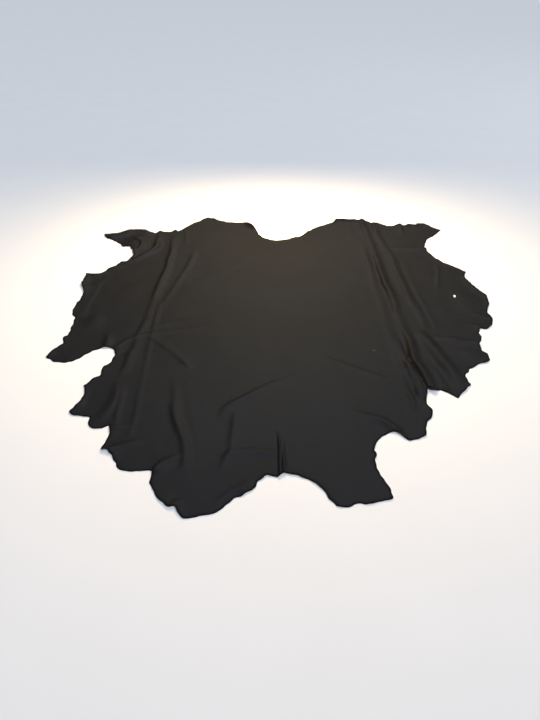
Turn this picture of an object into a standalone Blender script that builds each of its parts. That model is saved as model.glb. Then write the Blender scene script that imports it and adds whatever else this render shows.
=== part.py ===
"""A whole side-to-side leather hide, laid out flat on a floor with its grain side up.

The hide is one cut sheet and so one solid. Its tables are in centimetres, seen from above, with x to the
right and y from the neck, which is the near end, to the tail. The two ends of the backbone are the neck
pleat at the near edge and the tail notch at the far edge, and the legs make the four corners.
"""

import math

import bmesh
import bpy
import numpy as np
from mathutils import Vector
from mathutils.geometry import delaunay_2d_cdt

# Driving sizes, in metres.
CM = 0.01
THICKNESS = 0.0014

# Spacing of the mesh's points, in centimetres: along the edge, along the folds, on the flat, and where
# the sheet bends most.
EDGE_STEP = 3.0
FOLD_STEP = 5.0
FLAT_STEP = 17.0
CURVED_STEP = 3.2

# How the spacing narrows from flat to curved: the step where the sheet bends by 1 cm within BEND_REACH.
BENT_STEP = 3.5
BEND_REACH = 1.5

# Least distances, in centimetres, from a point to the edge and to its neighbours on a fold.
CLEAR_OF_EDGE = 1.3
CLEAR_OF_POINTS = 0.9

# The rows of points on a fold, as shares of its flank: crest, both flanks, both feet. Narrow folds take
# steps of NARROW_FOLD times their mean flank.
CREST = 0.0
FLANK = 0.55
FOOT = 1.0
NARROW_FOLD = 1.6

# Steps for measuring a fold's route and the sheet's slope, in centimetres.
ROUTE_STEP = 2.5
SLOPE_STEP = 0.2

# Edges of the mesh sharper than this are shaded sharp.
SHARP_ANGLE = math.radians(50.0)

# Numbers that only guard against rounding: a share of a step, a bend, a gap and the digits of a place.
ROUNDING = 0.99
LEAST_BEND = 0.000001
LEAST_GAP = 0.000001
DIGITS = 6

# What the triangulation hands back: only the triangles inside its outer ring.
TRIANGLES_INSIDE = 1

# The outline, counter-clockwise from the bottom of the tail notch. Each row is x, y and bow: the point
# where one arc of the edge starts, and how far that arc bows out (+) or in (-) on its way to the next row.
OUTLINE = {
    "left rump": [
        (-3.0, 228.5, -3.2),
        (-16.2, 243.6, 0.3),
        (-22.8, 255.3, 0.5),
        (-29.0, 259.8, 0.0),
        (-38.0, 260.6, 0.0),
        (-46.0, 264.2, 0.0),
        (-54.5, 268.3, 1.2),
        (-74.0, 244.0, 0.0),
    ],
    "left hind shank": [
        (-76.0, 247.0, -3.4),
        (-87.5, 245.7, 0.0),
        (-89.8, 241.2, -1.2),
        (-98.0, 247.2, 0.3),
        (-108.5, 247.0, 0.3),
        (-118.5, 240.2, 0.0),
        (-120.0, 241.8, 0.0),
        (-123.5, 239.2, 0.0),
        (-126.7, 240.0, 1.7),
        (-118.8, 230.3, -0.4),
        (-108.5, 218.9, 0.0),
        (-104.0, 219.0, -0.5),
        (-98.5, 207.0, 0.1),
        (-101.7, 197.0, 0.0),
    ],
    "left belly": [
        (-105.5, 196.8, -1.3),
        (-111.6, 187.3, -0.9),
        (-114.8, 178.8, -0.2),
        (-123.3, 179.6, -1.0),
        (-122.8, 166.8, -1.0),
        (-117.9, 154.0, 1.0),
        (-118.3, 133.0, 0.0),
        (-115.6, 131.0, 0.0),
        (-114.4, 112.5, 0.0),
        (-116.5, 112.0, 0.0),
        (-115.0, 106.0, 0.2),
    ],
    "left fore shank": [
        (-120.2, 94.3, 1.1),
        (-109.0, 89.2, 1.0),
        (-101.0, 95.3, -0.7),
        (-92.7, 101.8, -2.4),
        (-85.0, 95.0, -0.4),
        (-87.3, 87.9, 0.0),
    ],
    "left neck": [
        (-89.3, 86.9, -0.2),
        (-88.7, 79.6, 0.0),
        (-91.3, 77.6, -0.2),
        (-94.8, 71.5, -0.8),
        (-92.3, 63.8, -0.9),
        (-96.0, 54.8, 0.3),
        (-94.5, 52.5, 0.0),
        (-85.8, 51.0, 0.0),
        (-85.4, 46.3, 0.2),
        (-82.8, 43.9, 0.4),
        (-76.2, 46.0, -1.0),
        (-76.5, 31.9, 0.0),
        (-73.2, 31.7, -0.3),
        (-68.0, 23.4, 0.6),
        (-63.5, 20.8, 0.4),
        (-55.0, 21.3, 0.0),
    ],
    "left cheek": [
        (-53.2, 20.6, 0.2),
        (-53.0, 14.8, 0.7),
        (-46.2, 5.3, 0.0),
        (-44.2, 3.6, 0.0),
        (-42.3, 4.4, 0.0),
        (-39.3, 0.3, 0.9),
        (-34.7, -0.5, 0.1),
        (-26.0, 2.0, 0.4),
        (-20.3, 8.2, 0.4),
        (-15.2, 10.4, 0.5),
        (-12.3, 13.6, 0.0),
        (-11.9, 16.0, 0.3),
        (-8.3, 18.5, 0.0),
    ],
    "neck end": [
        (-3.4, 17.9, 0.0),
        (-1.8, 19.6, 0.0),
        (0.0, 19.8, -0.9),
    ],
    "right cheek": [
        (12.9, 12.6, 0.1),
        (17.2, 4.2, 1.1),
        (24.8, 5.3, 0.0),
        (26.4, 5.9, 0.0),
        (27.7, 5.2, 0.3),
        (33.1, 6.5, 0.0),
        (37.4, 7.3, 0.4),
        (39.0, 9.5, 0.2),
        (38.6, 12.6, -0.1),
        (35.0, 22.3, -0.3),
        (36.1, 28.9, 0.0),
        (35.2, 31.0, -2.4),
        (46.2, 42.1, -0.5),
        (50.1, 37.6, 0.3),
        (53.1, 37.2, 0.0),
    ],
    "right neck": [
        (58.5, 39.8, 0.0),
        (61.0, 47.9, 0.6),
        (65.8, 55.8, -0.7),
        (63.7, 60.2, 0.0),
    ],
    "right fore shank": [
        (66.3, 69.4, 0.0),
        (68.6, 67.7, 0.0),
        (72.5, 69.0, -0.4),
        (78.5, 63.2, 0.0),
        (88.0, 73.2, -0.2),
        (86.7, 79.1, -1.3),
        (98.4, 88.8, 0.3),
        (103.3, 92.0, -0.3),
        (103.7, 97.1, -0.2),
        (100.9, 99.8, -0.8),
        (105.3, 111.5, 0.2),
        (104.8, 115.1, -0.2),
        (107.1, 118.7, 0.0),
    ],
    "right belly": [
        (110.3, 118.7, 1.7),
        (116.7, 131.1, -0.2),
        (115.7, 136.1, 1.4),
        (121.3, 153.5, -0.5),
        (115.4, 170.6, 0.0),
        (114.8, 174.0, -0.4),
        (118.0, 183.0, 0.8),
        (106.9, 195.5, -0.7),
        (100.0, 212.7, 0.3),
    ],
    "right hind shank": [
        (100.1, 220.0, -0.3),
        (104.3, 230.3, 0.5),
        (118.5, 247.0, -0.7),
        (108.5, 257.0, 0.0),
        (103.0, 256.5, 0.0),
        (101.5, 254.0, 0.0),
        (96.0, 254.2, 0.0),
        (92.5, 252.2, 0.0),
        (90.0, 254.2, 0.0),
        (86.5, 254.3, 0.0),
        (84.0, 253.2, 0.0),
        (80.5, 253.5, 0.2),
    ],
    "right rump": [
        (73.5, 260.5, 0.0),
        (72.0, 258.7, 0.0),
        (69.5, 258.2, 0.0),
        (67.0, 261.2, 0.2),
        (59.5, 261.8, 0.0),
        (50.5, 261.9, 0.0),
        (43.0, 264.0, -1.0),
        (36.5, 256.0, 1.3),
        (21.0, 245.0, 0.0),
        (17.0, 238.3, -1.4),
    ],
}

# The folds. Each has the widths of its left and right flanks and its crest from the near end to the far
# end, as rows of x, y and height. The narrow flank is the steep one.
FOLDS = {
    "left long fold": (2.0, 4.8, [
        (-79.5, 78.0, 0.0),
        (-77.8, 88.0, 0.4),
        (-78.0, 96.0, 0.5),
        (-77.0, 104.0, 0.4),
        (-77.6, 112.0, 0.35),
        (-76.6, 120.0, 0.6),
        (-75.6, 130.0, 0.3),
        (-75.5, 146.0, 0.3),
        (-75.4, 158.0, 0.8),
        (-74.8, 170.0, 0.95),
        (-73.9, 182.0, 1.0),
        (-73.9, 194.0, 0.95),
        (-74.0, 206.0, 0.8),
        (-75.0, 220.0, 0.6),
        (-75.8, 238.0, 0.0),
    ]),
    "left short fold": (1.7, 4.4, [
        (-70.4, 138.0, 0.0),
        (-68.4, 148.0, 0.15),
        (-66.5, 158.0, 0.2),
        (-65.0, 169.0, 0.25),
        (-62.8, 180.0, 0.3),
        (-60.6, 192.0, 0.35),
        (-59.4, 204.0, 0.3),
        (-58.4, 216.0, 0.0),
    ]),
    "left slanting fold": (1.9, 4.0, [
        (-45.4, 84.4, 0.0),
        (-48.9, 89.0, 0.5),
        (-53.0, 93.4, 0.4),
        (-58.4, 99.5, 0.3),
        (-63.5, 105.2, 0.3),
        (-70.0, 110.4, 0.2),
        (-76.0, 112.5, 0.0),
    ]),
    "left neck fold": (2.2, 4.2, [
        (-41.4, 20.0, 0.0),
        (-41.4, 26.0, 0.7),
        (-42.2, 31.5, 0.8),
        (-43.6, 37.5, 0.7),
        (-46.0, 44.0, 0.7),
        (-48.6, 50.0, 0.6),
        (-50.0, 57.0, 0.6),
        (-50.8, 64.0, 0.25),
        (-52.6, 72.0, 0.1),
        (-54.4, 84.0, 0.0),
    ]),
    "neck arc": (1.7, 5.6, [
        (-28.9, 49.0, 0.0),
        (-28.4, 53.8, 0.25),
        (-25.7, 58.5, 0.5),
        (-19.2, 63.8, 0.6),
        (-10.8, 69.8, 0.5),
        (-4.8, 74.4, 0.4),
        (0.8, 77.1, 0.3),
        (8.8, 82.5, 0.0),
    ]),
    "neck upright": (1.9, 3.8, [
        (-26.8, 20.0, 0.0),
        (-25.2, 26.5, 0.5),
        (-22.9, 32.0, 0.45),
        (-22.6, 39.0, 0.45),
        (-22.4, 47.0, 0.55),
        (-22.4, 57.0, 0.0),
    ]),
    "neck pleat": (1.0, 1.0, [
        (-3.0, 17.0, 0.8),
        (-3.0, 26.0, 0.8),
        (-2.9, 33.0, 0.8),
        (-3.2, 38.0, 0.4),
        (-3.5, 44.0, 0.0),
    ]),
    "right near slant": (5.0, 1.9, [
        (48.9, 38.7, 1.1),
        (47.1, 43.2, 1.1),
        (43.3, 48.1, 1.0),
        (39.7, 50.5, 0.8),
        (35.4, 52.4, 0.5),
        (26.2, 55.2, 0.0),
    ]),
    "right far slant": (4.5, 1.6, [
        (49.7, 76.9, 0.0),
        (43.7, 80.2, 0.3),
        (36.0, 84.5, 0.35),
        (27.5, 89.6, 0.3),
        (16.2, 95.9, 0.0),
    ]),
    "right back fold": (2.8, 4.6, [
        (56.4, 65.0, 0.3),
        (56.0, 80.0, 0.4),
        (56.8, 99.0, 0.35),
        (56.4, 118.0, 0.2),
        (57.0, 142.0, 0.3),
        (56.8, 158.0, 0.25),
        (57.3, 178.0, 0.45),
        (56.9, 200.0, 0.6),
        (57.4, 214.0, 0.3),
        (57.0, 228.0, 0.0),
    ]),
    "right inner fold": (4.2, 1.8, [
        (64.6, 66.5, 0.8),
        (63.4, 75.0, 1.4),
        (62.6, 81.0, 1.5),
        (61.7, 88.0, 1.4),
        (61.0, 95.0, 0.8),
        (60.3, 102.0, 0.5),
        (59.8, 112.0, 0.0),
    ]),
    "right long fold": (2.4, 4.8, [
        (67.6, 66.5, 2.2),
        (66.4, 75.0, 2.6),
        (65.6, 82.0, 2.5),
        (64.8, 89.0, 2.4),
        (64.7, 96.0, 2.1),
        (65.2, 104.0, 1.3),
        (65.4, 113.0, 0.8),
        (64.6, 124.0, 0.5),
        (64.3, 134.0, 0.5),
        (64.4, 144.0, 0.9),
        (64.0, 156.0, 1.4),
        (63.4, 168.0, 1.5),
        (63.2, 180.0, 1.4),
        (63.0, 192.0, 1.2),
        (62.9, 208.0, 0.8),
        (63.1, 222.0, 0.6),
        (62.4, 238.0, 0.8),
        (62.0, 262.0, 1.0),
    ]),
    "right outer fold": (2.5, 4.8, [
        (76.6, 116.0, 0.0),
        (76.5, 126.0, 0.3),
        (76.3, 136.0, 0.4),
        (74.6, 148.0, 0.7),
        (74.0, 160.0, 0.75),
        (73.6, 174.0, 0.75),
        (73.2, 187.0, 0.7),
        (73.7, 198.0, 0.6),
        (73.0, 209.0, 0.7),
        (71.1, 222.0, 0.5),
        (69.9, 236.0, 0.6),
        (70.4, 257.0, 1.0),
    ]),
    "right shank fold": (5.2, 4.8, [
        (83.5, 68.0, 0.4),
        (82.0, 76.0, 0.9),
        (80.4, 84.0, 1.3),
        (78.4, 93.0, 1.6),
        (76.6, 101.0, 1.4),
        (74.4, 109.0, 1.0),
        (73.0, 118.0, 0.0),
    ]),
    "right hind crease": (1.6, 6.5, [
        (71.0, 219.5, 0.0),
        (79.4, 217.3, 0.6),
        (88.0, 216.0, 0.8),
        (100.5, 215.6, 0.7),
    ]),
    "right fore crease": (6.0, 1.6, [
        (102.0, 104.6, 1.1),
        (94.5, 107.2, 1.2),
        (87.2, 110.2, 0.9),
        (78.5, 112.0, 0.0),
    ]),
    "right belly wrinkle": (1.3, 2.2, [
        (94.0, 161.0, 0.0),
        (97.4, 174.0, 0.4),
        (100.8, 186.0, 0.3),
        (102.0, 195.0, 0.0),
    ]),
    "left hind fold": (2.8, 4.6, [
        (-101.0, 196.0, 0.4),
        (-94.5, 202.5, 0.7),
        (-89.4, 209.0, 1.3),
        (-86.0, 216.0, 2.0),
        (-85.6, 222.0, 1.8),
        (-86.0, 232.0, 0.7),
        (-86.5, 246.0, 0.3),
    ]),
    "left shank ridge": (3.2, 2.2, [
        (-104.0, 234.0, 0.3),
        (-99.5, 228.5, 0.8),
        (-95.8, 223.5, 1.0),
        (-96.0, 217.0, 0.7),
        (-99.0, 211.0, 0.0),
    ]),
    "left shank rim": (9.0, 5.0, [
        (-91.0, 235.0, 0.0),
        (-98.5, 241.3, 0.9),
        (-107.5, 242.0, 1.2),
        (-116.5, 236.8, 1.1),
        (-125.0, 236.0, 0.7),
    ]),
    "left bay fold": (2.4, 4.0, [
        (-91.6, 101.0, 1.2),
        (-92.2, 107.0, 0.7),
        (-94.0, 116.0, 0.0),
    ]),
    "left lobe ridge": (4.2, 3.0, [
        (-81.0, 50.5, 0.3),
        (-78.7, 56.5, 0.6),
        (-77.5, 63.5, 0.7),
        (-77.9, 70.0, 0.5),
        (-79.0, 77.0, 0.0),
    ]),
}

# Low swells: middle x and y, half-widths along x and y, and height.
SWELLS = {
    "left hind shank": (-100.0, 224.0, 15.0, 20.0, 1.8),
    "left belly bump": (-104.0, 127.0, 8.0, 11.0, 0.5),
    "right fore shank": (94.0, 97.0, 9.0, 9.0, 0.5),
    "right belly": (108.0, 146.0, 12.0, 22.0, 0.6),
}

# Turned-up stretches of the edge: x and y of the middle, reach along the edge, width and lift.
CURLS = {
    "left rump flap": (-21.5, 252.5, 13.0, 4.5, 2.4),
    "left rump tip": (-54.0, 266.0, 13.0, 4.5, 0.7),
    "right rump": (52.0, 263.0, 24.0, 3.6, 1.9),
    "left hind shank bay": (-99.5, 210.0, 9.0, 4.0, 1.2),
    "left belly": (-121.0, 170.0, 24.0, 6.0, 1.4),
    "left lobe": (-94.0, 62.0, 14.0, 4.0, 0.7),
    "right hind shank": (97.0, 254.0, 22.0, 5.0, 1.2),
    "right belly": (117.0, 160.0, 26.0, 5.0, 0.6),
    "left cheek": (-44.0, 6.0, 12.0, 4.0, 0.5),
}

# The one hole, a slanting slit with round ends: middle, half-length, half-width and lean to the right.
HOLE_X = 102.3
HOLE_Y = 153.0
HOLE_HALF_LENGTH = 1.9
HOLE_HALF_WIDTH = 0.75
HOLE_LEAN = math.radians(16.0)
HOLE_CORNERS = 12

LEATHER_COLOUR = (0.030, 0.028, 0.026, 1.0)
LEATHER_ROUGHNESS = 0.55


def edge_points():
    """The outline as an array of points about EDGE_STEP apart, every row of the table among them."""
    rows = [row for stretch in OUTLINE.values() for row in stretch]
    points = []
    for (x0, y0, bow), (x1, y1, _) in zip(rows, rows[1:] + rows[:1]):
        chord = math.hypot(x1 - x0, y1 - y0)
        out_x = (y1 - y0) / chord
        out_y = (x0 - x1) / chord
        count = max(1, round(chord / EDGE_STEP))
        for step in range(count):
            t = step / count
            push = 4.0 * bow * t * (1.0 - t)
            points.append((x0 + (x1 - x0) * t + out_x * push, y0 + (y1 - y0) * t + out_y * push))
    return np.array(points)


def hole_points():
    """The rim of the hole."""
    points = []
    for corner in range(HOLE_CORNERS):
        angle = math.tau * corner / HOLE_CORNERS
        along = HOLE_HALF_LENGTH * math.sin(angle)
        across = HOLE_HALF_WIDTH * math.cos(angle)
        points.append((
            HOLE_X + across * math.cos(HOLE_LEAN) + along * math.sin(HOLE_LEAN),
            HOLE_Y - across * math.sin(HOLE_LEAN) + along * math.cos(HOLE_LEAN),
        ))
    return np.array(points)


def smooth_route(rows, step):
    """A smooth curve through the rows, as rows of x, y and height about `step` apart."""
    rows = np.array(rows)
    ends = np.vstack([2 * rows[0] - rows[1], rows, 2 * rows[-1] - rows[-2]])
    route = []
    for a, b, c, d in zip(ends, ends[1:], ends[2:], ends[3:]):
        count = max(1, round(math.dist(b[:2], c[:2]) / step))
        for t in np.arange(count) / count:
            route.append(0.5 * (2 * b + (c - a) * t + (2 * a - 5 * b + 4 * c - d) * t ** 2
                                + (3 * b - a - 3 * c + d) * t ** 3))
    route.append(rows[-1])
    return np.array(route)


def nearest(points, line):
    """Distance from each point to a line of x, y (and value) rows, the side it is on, and the value there."""
    best = np.full(len(points), np.inf)
    side = np.ones(len(points))
    value = np.zeros(len(points))
    for a, b in zip(line, line[1:]):
        run = b[:2] - a[:2]
        away = points - a[:2]
        t = np.clip(away @ run / (run @ run), 0.0, 1.0)
        gap = away - t[:, None] * run
        distance = np.hypot(gap[:, 0], gap[:, 1])
        closer = distance < best
        best[closer] = distance[closer]
        side[closer] = np.sign(run[0] * away[:, 1] - run[1] * away[:, 0])[closer]
        value[closer] = (a[-1] + t * (b[-1] - a[-1]))[closer]
    return best, side, value


def inside(points, ring):
    """Which points lie inside a closed ring."""
    found = np.zeros(len(points), dtype=bool)
    for a, b in zip(ring, np.roll(ring, -1, axis=0)):
        spans = (a[1] > points[:, 1]) != (b[1] > points[:, 1])
        if a[1] != b[1]:
            crossing = a[0] + (points[:, 1] - a[1]) * (b[0] - a[0]) / (b[1] - a[1])
            found ^= spans & (points[:, 0] < crossing)
    return found


def hump(share):
    """A soft hump: 1 where share is 0, falling to 0 where it reaches 1."""
    return 0.5 + 0.5 * np.cos(math.pi * np.clip(share, 0.0, 1.0))


def heights(points, edge):
    """How high the sheet's underside stands above the floor at each point; 0 on the flat ground."""
    total = np.zeros(len(points))
    for left, right, crest in FOLDS.values():
        distance, side, height = nearest(points, smooth_route(crest, ROUTE_STEP))
        width = np.where(side > 0, left, right)
        total += height * hump(distance / width)
    for x, y, half_x, half_y, height in SWELLS.values():
        share = np.hypot((points[:, 0] - x) / half_x, (points[:, 1] - y) / half_y)
        total += height * hump(share)
    closed = np.vstack([edge, edge[:1]])
    from_edge = nearest(points, closed)[0]
    for x, y, reach, width, lift in CURLS.values():
        along = np.hypot(points[:, 0] - x, points[:, 1] - y) / reach
        total += lift * hump(along) * np.clip(1.0 - from_edge / width, 0.0, 1.0) ** 2
    return total


def fold_rows():
    """Points on the crests of all folds, then on their flanks, then on their feet; high folds first."""
    highest_first = sorted(FOLDS.values(), key=lambda fold: -max(height for _, _, height in fold[2]))
    points = []
    for share in (CREST, FLANK, FOOT):
        for left, right, crest in highest_first:
            step = min(FOLD_STEP, NARROW_FOLD * (left + right) / 2)
            route = smooth_route(crest, step)
            heading = np.gradient(route[:, :2], axis=0)
            heading /= np.hypot(heading[:, 0], heading[:, 1])[:, None]
            to_left = np.column_stack([-heading[:, 1], heading[:, 0]])
            points.extend(route[:, :2] + share * left * to_left)
            points.extend(route[:, :2] - share * right * to_left)
    return np.array(points)


def mesh_points(edge, hole):
    """Every point of the flat mesh: edge, hole, rows along the folds, then a filler that is denser where
    the sheet bends."""
    rim = np.vstack([edge, hole])
    least_x, least_y = edge.min(axis=0)
    most_x, most_y = edge.max(axis=0)
    row_step = CURVED_STEP * math.sin(math.pi / 3)
    grid = np.array([
        (x + 0.5 * CURVED_STEP * (row % 2), y)
        for row, y in enumerate(np.arange(least_y, most_y, row_step))
        for x in np.arange(least_x, most_x, CURVED_STEP)
    ])
    around = [(BEND_REACH, 0), (-BEND_REACH, 0), (0, BEND_REACH), (0, -BEND_REACH)]
    bend = sum(heights(grid + shift, edge) for shift in around) - len(around) * heights(grid, edge)
    bend = np.maximum(np.abs(bend), LEAST_BEND)
    spacing = np.clip(BENT_STEP / np.sqrt(bend), CURVED_STEP * ROUNDING, FLAT_STEP)
    order = np.argsort(spacing, kind="stable")
    rows = fold_rows()
    candidates = np.vstack([rows, grid[order]])
    gaps = np.concatenate([np.full(len(rows), CLEAR_OF_POINTS), spacing[order]])
    usable = inside(candidates, edge) & ~inside(candidates, hole)
    usable &= nearest(candidates, np.vstack([edge, edge[:1]]))[0] > CLEAR_OF_EDGE
    usable &= nearest(candidates, np.vstack([hole, hole[:1]]))[0] > CLEAR_OF_EDGE
    kept = list(rim)
    for point, gap in zip(candidates[usable], gaps[usable]):
        apart = np.array(kept) - point
        if np.min(apart[:, 0] ** 2 + apart[:, 1] ** 2) >= gap ** 2:
            kept.append(point)
    return np.array(kept)


def make_sheet(name):
    """The hide's solid: a triangulated underside, raised along the folds, and its top one thickness up."""
    edge = edge_points()
    hole = hole_points()
    flat = mesh_points(edge, hole)
    edge_count = len(edge)
    hole_count = len(hole)
    ring = [(i, (i + 1) % edge_count) for i in range(edge_count)]
    slit = [(edge_count + i, edge_count + (i + 1) % hole_count) for i in range(hole_count)]
    flat = [Vector(point) for point in flat]
    corners, _, faces, *_ = delaunay_2d_cdt(flat, ring + slit, [], TRIANGLES_INSIDE, LEAST_GAP)
    corners = np.array([tuple(corner) for corner in corners])
    middles = np.array([corners[list(face)].mean(axis=0) for face in faces])
    solid = inside(middles, edge) & ~inside(middles, hole)
    low = heights(corners, edge)
    slope_x = (heights(corners + (SLOPE_STEP, 0), edge) - low) / SLOPE_STEP
    slope_y = (heights(corners + (0, SLOPE_STEP), edge) - low) / SLOPE_STEP
    upright = THICKNESS * np.sqrt(1.0 + slope_x ** 2 + slope_y ** 2)
    middle = (corners.min(axis=0) + corners.max(axis=0)) / 2

    bm = bmesh.new()
    under = [bm.verts.new(((x - middle[0]) * CM, (y - middle[1]) * CM, z * CM))
             for (x, y), z in zip(corners, low)]
    lift = dict(zip(under, upright))
    for face, is_leather in zip(faces, solid):
        if is_leather:
            bm.faces.new([under[corner] for corner in face])
    loose = [vert for vert in under if not vert.link_faces]
    bmesh.ops.delete(bm, geom=loose, context="VERTS")
    bmesh.ops.recalc_face_normals(bm, faces=bm.faces)
    place = {vert.co.to_tuple(DIGITS): lift[vert] for vert in under if vert.is_valid}
    extruded = bmesh.ops.extrude_face_region(bm, geom=list(bm.faces))
    for item in extruded["geom"]:
        if isinstance(item, bmesh.types.BMVert):
            item.co.z += place[item.co.to_tuple(DIGITS)]
    bmesh.ops.recalc_face_normals(bm, faces=bm.faces)
    mesh = bpy.data.meshes.new(name)
    bm.to_mesh(mesh)
    bm.free()
    sheet = bpy.data.objects.new(name, mesh)
    bpy.context.scene.collection.objects.link(sheet)
    mesh.shade_smooth()
    mesh.set_sharp_from_angle(angle=SHARP_ANGLE)
    return sheet


def leather():
    """Plain black leather."""
    material = bpy.data.materials.new("black leather")
    material.use_nodes = True
    shader = material.node_tree.nodes["Principled BSDF"]
    shader.inputs["Base Color"].default_value = LEATHER_COLOUR
    shader.inputs["Roughness"].default_value = LEATHER_ROUGHNESS
    shader.inputs["Metallic"].default_value = 0.0
    return material


for old in list(bpy.data.objects):
    bpy.data.objects.remove(old, do_unlink=True)

hide = make_sheet("hide")
hide.data.materials.append(leather())
print("hide:", len(hide.data.vertices), "points,", len(hide.data.polygons), "faces,", tuple(hide.dimensions))
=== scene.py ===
# %% [markdown]
# # A whole black leather hide, laid out on a pale floor
#
# A hide is one sheet, cut only where the tanner trimmed it. Its whole character is in three things: the
# ragged outline, the low folds that stay in it after it has been rolled up, and the fine grain that the
# light slides over. This notebook makes them in that order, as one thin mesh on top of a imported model
# that already has the size and the place.
#
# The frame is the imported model. It is loaded first, and everything after it is in metres, in its axes:
# x to the right, y from the neck to the tail and z up.

# %% Load the frame
import math

import bpy
import numpy as np
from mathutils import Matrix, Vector, kdtree, noise
from mathutils.geometry import delaunay_2d_cdt


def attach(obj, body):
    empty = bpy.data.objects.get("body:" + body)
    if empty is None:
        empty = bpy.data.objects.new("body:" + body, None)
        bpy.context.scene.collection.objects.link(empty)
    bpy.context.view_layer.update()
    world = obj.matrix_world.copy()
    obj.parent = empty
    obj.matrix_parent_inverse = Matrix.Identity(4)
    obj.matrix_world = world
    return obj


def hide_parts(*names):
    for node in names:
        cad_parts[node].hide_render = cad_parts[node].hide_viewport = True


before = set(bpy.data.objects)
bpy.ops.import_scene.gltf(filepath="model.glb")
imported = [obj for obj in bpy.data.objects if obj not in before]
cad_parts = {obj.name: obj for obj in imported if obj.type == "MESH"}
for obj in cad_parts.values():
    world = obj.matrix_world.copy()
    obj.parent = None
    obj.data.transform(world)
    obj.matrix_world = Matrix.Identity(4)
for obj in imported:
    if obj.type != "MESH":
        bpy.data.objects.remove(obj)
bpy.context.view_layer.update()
scene = bpy.context.scene

# %% [markdown]
# ## The camera
#
# The hide is seen as someone standing at its neck end would see it: from about eye height, tilted down,
# with a phone's wide lens. The camera comes before the shape, because a sheet on the floor is
# foreshortened so strongly at its far edge that every test of the outline depends on this view.

# %% Set up the camera
CAMERA_HEIGHT = 1.60
CAMERA_BEFORE_MIDDLE = 2.467
CAMERA_RIGHT_OF_MIDDLE = -0.043
CAMERA_DOWN = math.radians(38.0)
LENS_MM = 26.0
SENSOR_MM = 36.0

camera_data = bpy.data.cameras.new("standing view")
camera_data.sensor_fit = "AUTO"
camera_data.sensor_width = SENSOR_MM
camera_data.lens = LENS_MM
camera = bpy.data.objects.new("standing view", camera_data)
camera.location = (CAMERA_RIGHT_OF_MIDDLE, -CAMERA_BEFORE_MIDDLE, CAMERA_HEIGHT)
camera.rotation_euler = (math.pi / 2 - CAMERA_DOWN, 0.0, 0.0)
scene.collection.objects.link(camera)
scene.camera = camera
print("camera looks", round(math.degrees(CAMERA_DOWN)), "degrees down, lens", LENS_MM, "mm")

# %% [markdown]
# ## The outline
#
# A tanner's toggles pull the wet hide out at points along its edge, and the leather dries in shallow
# hollows between them. So the outline is a table of those points, with one number for each stretch
# between two of them: how far it bows out or in. A drawn curve would hide that reason, and a long list
# of points would hold the shape without saying what it is. The table is in centimetres, with x to the
# right and y from the neck to the tail, and it runs counter-clockwise from the tail notch.

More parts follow.
